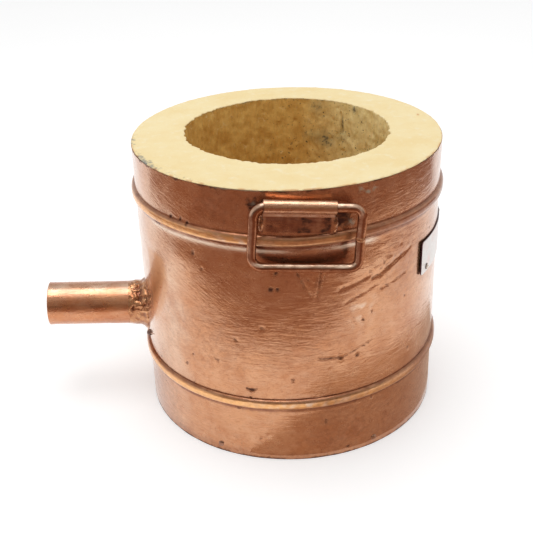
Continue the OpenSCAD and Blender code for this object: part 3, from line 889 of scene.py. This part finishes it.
def build_sleeve():
    """A plain ring with eased edges, with the pipe's hole in it."""
    (_, _, low), (outer, _, high) = node_box("insulating_sleeve")
    inner, ease = WALL_OUT_R + 0.2, 0.6
    corners = [(inner, low + ease), (inner + ease, low), (outer - ease, low), (outer, low + ease),
               (outer, high - ease), (outer - ease, high), (inner + ease, high), (inner, high - ease),
               (inner, low + ease)]
    outline = subdivided(np.array(corners, float), 6)[:-1]
    turn = np.linspace(0, 360, 256, endpoint=False)[:, None]
    points = waved(on_drum(turn, outline[None, :, 0], outline[None, :, 1]), 0.08, 8)
    sleeve = ring_mesh("fibre_sleeve", points, node="insulating_sleeve", material=FIBRE)
    cut_with_cylinder(sleeve, -DRUM_R, 0, PIPE_SEAT_R)


def build_refractory():
    solid_disc("fibre_board", puck("insulating_board", 0.8, 0.8), lumps=0.08, node="insulating_board",
               material=FIBRE)
    solid_disc("castable_hearth", puck("hearth_slab", 1, 0.6), lumps=0.06, size=9, node="hearth_slab",
               material=CAST_PLAIN)
    build_sleeve()
    (_, _, low), (right, _, high) = node_box("crucible_stand")
    foot, head, seat, sunk = right - CHAMBER[0], right - CHAMBER[0] - 3, 27, 3
    solid_disc("castable_stand", [(0, low), (foot - 1, low), (foot - 0.1, low + 1),
                                  (head + 0.2, high - 1.6), (head - 1.3, high), (seat + 1, high),
                                  (seat, high - 1), (seat - 0.6, high - sunk), (0, high - sunk)],
               centre=CHAMBER, size=7, body="stand", node="crucible_stand", material=CAST_PLAIN)


# ---- burner inlet ----

def build_pipe():
    outline = np.array([(PIPE_START + 0.5, PIPE_R), (PIPE_END - 0.4, PIPE_R), (PIPE_END, PIPE_R - 0.4),
                        (PIPE_END, PIPE_IN_R + 0.3), (PIPE_END - 0.3, PIPE_IN_R),
                        (PIPE_START + 0.4, PIPE_IN_R), (PIPE_START, PIPE_IN_R + 0.4),
                        (PIPE_START, PIPE_R - 0.5), (PIPE_START + 0.5, PIPE_R)])
    outline = subdivided(outline, 1.6)[:-1]
    turn = np.linspace(0, 360, 144, endpoint=False)[:, None]
    x, r = outline[None, :, 0], outline[None, :, 1]
    plain = along_pipe(turn, r, x)
    dent = 0.14 * (noise(plain, 30, 2.0) - 1) * (r > PIPE_R - 0.6) * smooth(PIPE_START, PIPE_START + 4, x)
    # A painted highlight along the top of the pipe.
    pale = 0.6 * bell(turn, 76, 22) * (0.8 + 0.5 * noise(plain, 12, 6.0))
    ring_mesh("burner_tube", along_pipe(turn, r + dent, x), node="burner_pipe", material=PIPE, pale=pale)


def build_pipe_weld():
    turn = np.linspace(0, 360, 220, endpoint=False)[:, None]
    share = np.linspace(0, 1, 66)[None, :]
    under = bell((turn - 90) % 360 - 180, 0, 70)
    base = PIPE_R + 0.9 * smooth(0, 0.4, share) + (3.0 + 2.0 * under) * smooth(0.5, 1, share) ** 1.6
    drum_x = pipe_meets_drum(turn, base)
    plain = along_pipe(turn, base, WELD_START + (drum_x - WELD_START) * share)
    rough = 0.75 * noise(plain, 6.5, 3.0) + 0.55 * noise(plain, 3.2, 4.0)
    crinkle = 0.35 + 1.1 * bell((turn + 135) % 360 - 180, 0, 50)
    ease = smooth(0, 0.22, share)
    lumpy = np.maximum(base + rough * crinkle * ease, PIPE_R + 0.12)
    front_x = WELD_START + 3.5 * (0.5 + 0.5 * noise(along_pipe(turn, PIPE_R, 0), 8, 6.0))
    outer = along_pipe(turn, lumpy, front_x + (drum_x - front_x) * share)
    inner_share = np.linspace(1, 0, 12)[None, :]
    inner_r = PIPE_R + 0.05
    inner_end = pipe_meets_drum(turn, inner_r)
    inner = along_pipe(turn, inner_r, front_x + (inner_end - front_x) * inner_share)
    hollow = 0.85 * smooth(0.05, 0.55, -rough) * ease * (0.4 + 0.6 * np.clip(crinkle, 0, 1))
    hollow = np.concatenate([hollow, np.zeros(inner.shape[:2])], 1)
    ring_mesh("burner_weld", np.concatenate([outer, inner], 1), node="pipe_weld", material=WELD,
              sharp=70, hollow=hollow)


BEAD_SHIFTS = (1.0, 21.0, 41.0)


def build_spatter():
    """A near-black drop of filler under the weld, and the thin tail it left on the sheet."""
    reach = np.linspace(0, math.pi, 22)
    outline = 2.6 * np.stack([np.sin(reach), -np.cos(reach)], -1)
    outline[0, 0] = outline[-1, 0] = 0
    p, faces = lathe(outline, 36)
    mesh_object("weld_spatter", waved(p, 0.35, 3, BEAD_SHIFTS) + on_drum(-78.0, DRUM_R + 0.6, 68.5),
                faces, material=NEAR_BLACK, sharp=80)
    along = np.linspace(0, 1, 24)[:, None]
    around = np.linspace(0, 2 * math.pi, 18, endpoint=False)[None, :]
    width = 1.0 * (1 - along) ** 0.8 + 0.12
    spine = on_drum(-77 + 7.5 * along, DRUM_R - 0.1, 69 + 8 * along)
    outward = on_drum(-77 + 7.5 * along, 1.0, 0)
    tail = spine + width[..., None] * (np.cos(around)[..., None] * outward
                                       + np.sin(around)[..., None] * np.array([0, 0, 1.0]))
    mesh_object("weld_tail", *capped(tail), material=WELD, sharp=80, hollow=0.3)


# ---- handles ----

class Hinge:
    """Places what is built about a hinge along X: its tilt, its slide and the side of the drum it is on."""

    def __init__(self, prefix, body, tilt, slide, azimuth):
        self.prefix, self.body, self.slide = prefix, body, slide
        self.matrix = (Matrix.Rotation(math.radians(azimuth), 3, "Z")
                       @ Matrix.Rotation(math.radians(tilt), 3, "Y"))
        self.about = Matrix.Rotation(math.radians(azimuth), 3, "Z") @ Vector(PIVOT)

    def place(self, points, slides=False):
        p = np.asarray(points, float) + np.array([self.slide * slides, 0, 0])
        return p @ np.array(self.matrix).T + np.array(self.about)


def strip_line():
    """Middle of the strip, seen from its end: up the lip, round under and over the rod, down the tab."""
    lip_y = CLIP_MID_R - SHEET_T - 0.1
    lip = np.array([(lip_y, -LIP_DROP), (lip_y, -5.6), (lip_y - 0.3, -4.6)])
    arc = np.radians(np.linspace(-60, -360, 60))
    wrap = np.stack([CLIP_MID_R * np.cos(arc), CLIP_MID_R * np.sin(arc)], -1)
    tail = np.array([(CLIP_MID_R, -TAB_DROP)])
    return subdivided(np.concatenate([lip, wrap, tail]), 0.6)


def build_clip(hinge):
    line = strip_line()
    way = np.gradient(line, axis=0)
    way /= np.linalg.norm(way, axis=1)[:, None]
    side = np.stack([-way[:, 1], way[:, 0]], -1)
    half = SHEET_T / 2
    loop = np.concatenate([line + side * half, (line - side * half)[::-1]])
    end = CLIP_W / 2
    x = np.concatenate([[-end, 0.3 - end], np.linspace(1.2 - end, end - 1.2, 56), [end - 0.3, end]])
    points = np.stack(np.broadcast_arrays(x[:, None], loop[None, :, 0], loop[None, :, 1]), -1)
    low = smooth(-TAB_DROP + 8, -TAB_DROP, points[..., 2])
    along = points * np.array([1, 0, 0])
    ragged = 0.9 * noise(along, 8, 3.0) + 0.4 * noise(along, 3, 4.0)
    points[..., 2] += low * (0.9 + ragged)
    points[..., 1] -= 0.18 * (0.5 + 0.5 * noise(points, 13, 5.0)) * smooth(-9.5, -12, points[..., 2])
    x_at, y_at, z = points[..., 0], points[..., 1], points[..., 2]
    on_tab = smooth(-8.9, -9.3, z)
    middle = (1 - smooth(end - 3.5, end - 1.5, np.abs(x_at))) * (1 - smooth(-21, -22.4, z))
    # Painted shade under the front of the roll and below the lip's edge; the tab darker.
    shade = on_tab * (0.4 + 0.6 * middle) * (0.95 + 0.4 * noise(points, 6, 6.0))
    shade = np.maximum(shade, 0.45 * smooth(2.5, 0, z) * (y_at < 1))
    shade = np.maximum(shade, 0.7 * bell(z, -9.4, 0.5))
    # Painted highlights: along the top of the roll, on the lip and in a line on the tab below it.
    lit = (0.86 * z - 0.5 * y_at) / np.hypot(y_at, z)
    pale = np.maximum(0.35 * smooth(0.84, 0.97, lit) * (z > 0), 0.6 * bell(z, -7.8, 1.0) * (y_at < 3))
    pale = np.maximum(pale, 0.45 * bell(z, -11.2, 0.9) * (y_at > 3)) * (0.8 + 0.5 * noise(points, 5, 3.0))
    notch = bell(np.hypot(x_at - 1.5, (z + TAB_DROP - 1.5) / 2), 0, 1.6)
    grime = np.maximum(0.7 * on_tab * middle * smooth(-0.2, 0.6, noise(points, 7, 9.0)), notch)
    grime = np.maximum(grime, 0.55 * bell(np.abs(x_at), end, 0.8))
    p, faces = capped(points)
    mesh_object(hinge.prefix + "clip_strip", hinge.place(p), faces, node=hinge.prefix + "clip",
                material=CLIP, grime=grime, shade=shade, pale=pale)


def build_clip_welds(hinge):
    parts = []
    for side in (-1, 1):
        reach = np.linspace(0, math.pi, 26)
        outline = np.stack([2.4 * np.sin(reach) ** 0.6, 6.4 - 6.4 * np.cos(reach)], -1)
        outline[0, 0] = outline[-1, 0] = 0
        p, faces = lathe(outline, 28)
        p = p + np.array([side * (CLIP_W / 2 + 0.4), CLIP_MID_R - SHEET_T / 2 + 2, -TAB_DROP + 1])
        parts.append((hinge.place(waved(p, 0.35, 4, BEAD_SHIFTS)), faces))
    points, faces = joined(parts)
    mesh_object(hinge.prefix + "clip_beads", points, faces, node=hinge.prefix + "clip_welds",
                material=WELD, sharp=80, hollow=0.4 + 0.6 * noise(points, 4, 2.0))


def bail_path():
    """The rod's axis as points round a rectangle whose four corners were bent by hand."""
    half, low = BAIL_HALF_W, -BAIL_H
    corners = [(half, 0, 90, 7.0), (-half, 0, 180, 9.5), (-half, low, 270, 9.0), (half, low, 360, 6.5)]
    points = []
    for x, z, turn, radius in corners:
        cx = x - math.copysign(radius, x)
        cz = z - radius if z == 0 else z + radius
        for t in np.radians(np.linspace(turn - 90, turn, 12)):
            points.append((cx + radius * math.cos(t), 0.0, cz + radius * math.sin(t)))
    points.append(points[0])
    return subdivided(np.array(points), 1.5)[:-1]


def build_bail(hinge):
    path = bail_path()
    way = np.roll(path, -1, 0) - np.roll(path, 1, 0)
    way /= np.linalg.norm(way, axis=1)[:, None]
    across = np.cross(way, np.array([0, 1.0, 0]))
    turn = np.linspace(0, 2 * math.pi, 28, endpoint=False)[None, :, None]
    ring = np.cos(turn) * across[:, None] + np.sin(turn) * np.array([0, 1.0, 0])
    low = smooth(-4, -30, path[:, 2])
    bend = [0.35 * noise(path, 26, 2.0), 0.25 * noise(path, 30, 3.0), 0.35 * noise(path, 26, 4.0)]
    path = path + np.stack(bend, -1) * low[:, None]
    plain = path[:, None] + ROD_R * ring
    radius = ROD_R + 0.07 * (noise(plain, 7, 5.0) - 1) * (0.2 + 0.8 * low[:, None])
    points = path[:, None] + radius[..., None] * ring
    # A painted glint along the side of the rod that faces up, to the front and to the left, and painted
    # shade over the rest.
    light = np.array([-0.4, -0.6, 0.7])
    light = light - (way @ light)[:, None] * way
    light /= np.linalg.norm(light, axis=1)[:, None]
    facing = (ring * light[:, None]).sum(-1)
    level = (way[:, 0] ** 2)[:, None]
    painted_glint = smooth(0.83, 0.96, facing) * (0.5 + 0.45 * level) * (0.85 + 0.4 * noise(plain, 6, 7.0))
    ring_mesh(hinge.prefix + "bail_rod", hinge.place(points, True), body=hinge.body,
              node=hinge.prefix + "bail", material=ROD, pale=painted_glint, shade=0.6 * (1 - painted_glint))
    build_bail_weld(hinge)


def build_bail_weld(hinge):
    turn = np.linspace(0, 2 * math.pi, 40, endpoint=False)[:, None]
    outline = np.array([(0.05, -1.5), (0.2, -1.5), (0.4, -1.1), (0.5, -0.5), (0.5, 0.5), (0.4, 1.1),
                        (0.2, 1.5), (0.05, 1.5)])
    r, z = ROD_R + outline[None, :, 0], outline[None, :, 1]
    plain = np.stack([r * np.cos(turn), r * np.sin(turn), z + 0 * turn], -1)
    r = np.where(r > ROD_R + 0.1, r - 0.18 * (0.5 + 0.5 * noise(plain, 2, 4.0)), r)
    points = np.stack([BAIL_HALF_W + r * np.cos(turn), r * np.sin(turn), z - BAIL_H / 2 + 0 * turn], -1)
    ring_mesh(hinge.prefix + "bail_seam", hinge.place(points, True), body=hinge.body,
              node=hinge.prefix + "bail_weld", material=WELD, sharp=70, hollow=0.3)


# ---- nameplate ----

def plate_points(along, up, depth):
    """along and up are millimetres over the bent plate from its middle; depth is above its back."""
    turn = along / PLATE_BEND_R
    r = PLATE_BEND_R + depth
    x, y = r * np.sin(turn), PLATE_CENTRE_Y - r * np.cos(turn)
    z = PLATE_Z + PLATE_H / 2 + up
    x, y, z = np.broadcast_arrays(x, y, z)
    p = np.stack([x, y, z], -1)
    return p @ np.array(Matrix.Rotation(math.radians(PLATE_AZIMUTH), 3, "Z")).T


def build_nameplate():
    half_w, half_h, corner, ease = PLATE_W / 2, PLATE_H / 2, 2.2, 0.25
    ends = half_w - corner + corner * np.sin(np.radians(np.linspace(0, 90, 8)))
    along = np.concatenate([-ends[::-1], np.linspace(-half_w + corner, half_w - corner, 60)[1:-1], ends])
    over = np.clip(np.abs(along) - (half_w - corner), 0, corner)
    tall = half_h - corner + np.sqrt(corner ** 2 - over ** 2)
    section = [(-1, 0.0, 0.0), (-1, PLATE_T - ease, 0.0), (-1, PLATE_T, ease)]
    section += [(t, PLATE_T, ease) for t in np.linspace(-0.9, 0.9, 19)]
    section += [(1, PLATE_T, ease), (1, PLATE_T - ease, 0.0), (1, 0.0, 0.0)]
    section += [(t, 0.0, 0.0) for t in np.linspace(0.8, -0.8, 5)]
    shape = np.array(section)
    up = shape[None, :, 0] * (tall[:, None] - shape[None, :, 2])
    shrink = 1 - shape[None, :, 2] / half_w
    points = plate_points(along[:, None] * shrink, up, shape[None, :, 1])
    # The plate's back and sides are painted near-black, as painted shade in the gap behind it.
    edge = np.broadcast_to(shape[None, :, 2] == 0, points.shape[:2]).astype(float)
    edge[[0, -1]] = 1
    p, faces = capped(points)
    mesh_object("plate_blank", p, faces, node="nameplate", material=PLATE, edge=edge)


# ---- rivets and pan ----

def rivet_parts(r_in, r_out):
    """A rivet along +Z: bucked tail, shank and domed head."""
    head_r, head_h, shank, tail_r, tail_h = 2.6, 1.4, 1.5, 2.3, 1.0
    dome_r = (head_r ** 2 + head_h ** 2) / (2 * head_h)
    angles = np.linspace(math.asin(head_r / dome_r), 0, 10)
    dome = [(dome_r * math.sin(t), r_out + head_h - dome_r + dome_r * math.cos(t)) for t in angles]
    outline = [(0, r_in - tail_h), (tail_r - 0.3, r_in - tail_h), (tail_r, r_in - tail_h + 0.3),
               (tail_r, r_in), (shank, r_in), (shank, r_out), (head_r, r_out), *dome]
    outline[-1] = (0, outline[-1][1])
    return lathe(np.array(outline), 32)


def facing_out(points, azimuth, centre, extra=0.0):
    """Turns what is built along +Z to point out of the drum at an azimuth, about a centre."""
    x, y, z = points.T
    front = np.stack([x, -z, y], -1)
    front = front @ np.array(Matrix.Rotation(math.radians(extra), 3, "Z")).T
    front = front + np.array(centre)
    return front @ np.array(Matrix.Rotation(math.radians(azimuth), 3, "Z")).T


def build_rivets():
    pan_r = SHEET_IN_R - 0.2 - SHEET_T
    parts = []
    for i in range(6):
        p, faces = rivet_parts(pan_r - 0.05, DRUM_R + 0.05)
        parts.append((facing_out(p, 28.5 + 60 * i, (0, 0, 6.5)), faces))
    mesh_object("base_rivet_heads", *joined(parts), node="base_rivets", material=RIVET, sharp=50)
    parts = []
    for z in (24, 42, 74, 107, 140, 173, 217):
        p, faces = rivet_parts(SHEET_IN_R - 0.05, DRUM_R + SHEET_T + 0.05)
        parts.append((facing_out(p, SEAM_AZIMUTH, (0, 0, z)), faces))
    mesh_object("seam_rivet_heads", *joined(parts), node="seam_rivets", material=RIVET, sharp=50)
    parts = []
    rims = []
    turn = (PLATE_W / 2 - 11) / PLATE_BEND_R
    across = PLATE_CENTRE_Y * math.sin(turn)
    reach = PLATE_CENTRE_Y * math.cos(turn) + math.sqrt(SHEET_IN_R ** 2 - across ** 2)
    for side in (-1, 1):
        p, faces = rivet_parts(reach - 0.25, PLATE_BEND_R + PLATE_T + 0.05)
        centre = (0, PLATE_CENTRE_Y, PLATE_Z + PLATE_H / 2 + side * (PLATE_H / 2 - 4.4))
        parts.append((facing_out(p, PLATE_AZIMUTH, centre, side * math.degrees(turn)), faces))
        rims.append(smooth(1.9, 2.5, np.hypot(p[:, 0], p[:, 1])))
    mesh_object("plate_rivet_heads", *joined(parts), node="nameplate_rivets", material=PLATE_RIVET,
                sharp=50, edge=np.concatenate(rims))


def build_pan():
    out_r, high, ease = SHEET_IN_R - 0.2, node_box("base_pan")[1][2], 1.0
    outline = [(0, 0), (out_r - ease, 0), (out_r, ease), (out_r, high - 0.3), (out_r - 0.3, high),
               (out_r - SHEET_T + 0.3, high), (out_r - SHEET_T, high - 0.3), (out_r - SHEET_T, SHEET_T),
               (0, SHEET_T)]
    points, faces = lathe(subdivided(np.array(outline, float), 3), 240)
    flat = (np.abs(points[:, 2]) < 0.1) & (np.hypot(points[:, 0], points[:, 1]) < out_r - 8)
    points[:, 2] += flat * 0.25 * (0.5 + 0.5 * noise(points, 40, 1.0))
    mesh_object("base_pan_sheet", points, faces, node="base_pan", material=PAN)


# ---- stage, light and camera ----

FLOOR_SIZE = 9000
FLOOR_GLOW = 0.42
SOFTBOX_AT = (-0.15, -0.05, 1.7)
SOFTBOX_RADIANCE = 2.8
# Where the camera is, in metres, and how it is turned: heading to the right, down, and roll
CAMERA_AT = (-0.0491, -0.7203, 0.485)
CAMERA_TURNS = (2.35, 27.25, -1.87)
CAMERA_LENS = 61.87


def build_floor():
    s = Shader("floor_white", Roughness=0.9, Specular_IOR_Level=0.1)
    tint = s.mix(s.noise(300, 2), (0.80, 0.80, 0.80), (0.82, 0.82, 0.82))
    s.put(s.bsdf.inputs["Emission Color"], (1, 1, 1))
    s.bsdf.inputs["Emission Strength"].default_value = FLOOR_GLOW
    p = np.array([(-1, -1, 0), (1, -1, 0), (1, 1, 0), (-1, 1, 0)], float) * FLOOR_SIZE / 2
    floor = mesh_object("floor", p, [[0, 1, 2, 3]], body=None, material=s.finish(tint, 0.9))


def reflected_card(name, radiance, points):
    """Something in the studio that is seen only as a reflection: a sheet through a grid of points."""
    material = bpy.data.materials.new(name)
    material.use_nodes = True
    tree = material.node_tree
    tree.nodes.clear()
    glow = tree.nodes.new("ShaderNodeEmission")
    glow.inputs["Color"].default_value = (*radiance, 1)
    out = tree.nodes.new("ShaderNodeOutputMaterial")
    tree.links.new(glow.outputs[0], out.inputs[0])
    faces = grid_faces(*points.shape[:2], False, False)
    card = mesh_object(name, points, faces, body=None, material=material)
    for kind in ("camera", "diffuse", "shadow", "transmission"):
        setattr(card, "visible_" + kind, False)


def build_cards():
    """A warm room beyond the white sheet, a dark wall behind the camera, and a shadow on the right."""
    turns = np.linspace(-112, 118, 90)
    near = np.interp(turns, [-112, -76, -56, -36, 0, 24, 44, 64, 118],
                     [600, 463, 345, 305, 300, 330, 450, 520, 580])
    right = np.linspace(-20, 112, 60)
    far = np.interp(right, [-20, 16, 112], [134, 240, 240])
    wall = np.linspace(-60, 60, 30)
    for name, radiance, low, high in (
            ("warm_room", (0.33, 0.17, 0.12), (turns, near, 4.0), (turns, 6000.0, 4.0)),
            ("right_shadow", (0.54, 0.39, 0.30), (right, 128.5, 3.0), (right, far, 3.0)),
            ("dark_wall", (0.10, 0.07, 0.06), (wall, 2500, 5), (wall, 2500, 800)),
            ("dim_wall", (0.30, 0.26, 0.24), (wall, 2500, 800), (wall, 2500, 2400))):
        reflected_card(name, radiance, np.stack([on_drum(*low), on_drum(*high)]))


def build_light():
    softbox = bpy.data.lights.new("softbox", "AREA")
    softbox.shape = "SQUARE"
    softbox.size = 1.1
    softbox.energy = math.pi * SOFTBOX_RADIANCE * softbox.size ** 2
    holder = bpy.data.objects.new("softbox", softbox)
    holder.location = SOFTBOX_AT
    bpy.context.scene.collection.objects.link(holder)


def build_world():
    """Plain white to the camera, and for everything else a sky that dims towards the top."""
    world = bpy.data.worlds.new("studio")
    bpy.context.scene.world = world
    world.use_nodes = True
    nodes, link = world.node_tree.nodes, world.node_tree.links.new
    nodes.clear()
    place, split, height, sky, seen, ray, either, out = (nodes.new("ShaderNode" + kind) for kind in (
        "TexCoord", "SeparateXYZ", "MapRange", "Background", "Background", "LightPath", "MixShader",
        "OutputWorld"))
    for name, value in (("From Max", 0.5), ("To Min", 1.0), ("To Max", 0.55)):
        height.inputs[name].default_value = value
    for background in (sky, seen):
        background.inputs["Color"].default_value = (1, 1, 1, 1)
    link(place.outputs["Generated"], split.inputs[0])
    link(split.outputs["Z"], height.inputs["Value"])
    link(height.outputs["Result"], sky.inputs["Strength"])
    link(ray.outputs["Is Camera Ray"], either.inputs[0])
    link(sky.outputs[0], either.inputs[1])
    link(seen.outputs[0], either.inputs[2])
    link(either.outputs[0], out.inputs["Surface"])


def build_camera():
    heading, down, roll = (math.radians(a) for a in CAMERA_TURNS)
    level = Vector((math.cos(heading), -math.sin(heading), 0))
    ahead = Vector((math.sin(heading), math.cos(heading), 0))
    forward = ahead * math.cos(down) - Vector((0, 0, math.sin(down)))
    upright = level.cross(forward)
    right = level * math.cos(roll) + upright * math.sin(roll)
    up = upright * math.cos(roll) - level * math.sin(roll)
    data = bpy.data.cameras.new("camera")
    data.sensor_width = 36
    data.lens = CAMERA_LENS
    camera = bpy.data.objects.new("camera", data)
    turn = Matrix((right, up, -forward)).transposed().to_4x4()
    camera.matrix_world = Matrix.Translation(CAMERA_AT) @ turn
    bpy.context.scene.collection.objects.link(camera)
    bpy.context.scene.camera = camera


build_shell()
build_lining()
build_refractory()
build_pipe()
build_pipe_weld()
build_spatter()
for hinge in (Hinge("front_", "front_handle", FRONT_TILT, FRONT_SLIDE, 0),
              Hinge("rear_", "rear_handle", 0, 0, 180)):
    build_clip(hinge)
    build_clip_welds(hinge)
    build_bail(hinge)
build_nameplate()
build_rivets()
build_pan()
build_floor()
build_cards()
build_light()
build_world()
build_camera()
bpy.context.scene.view_settings.view_transform = "Standard"
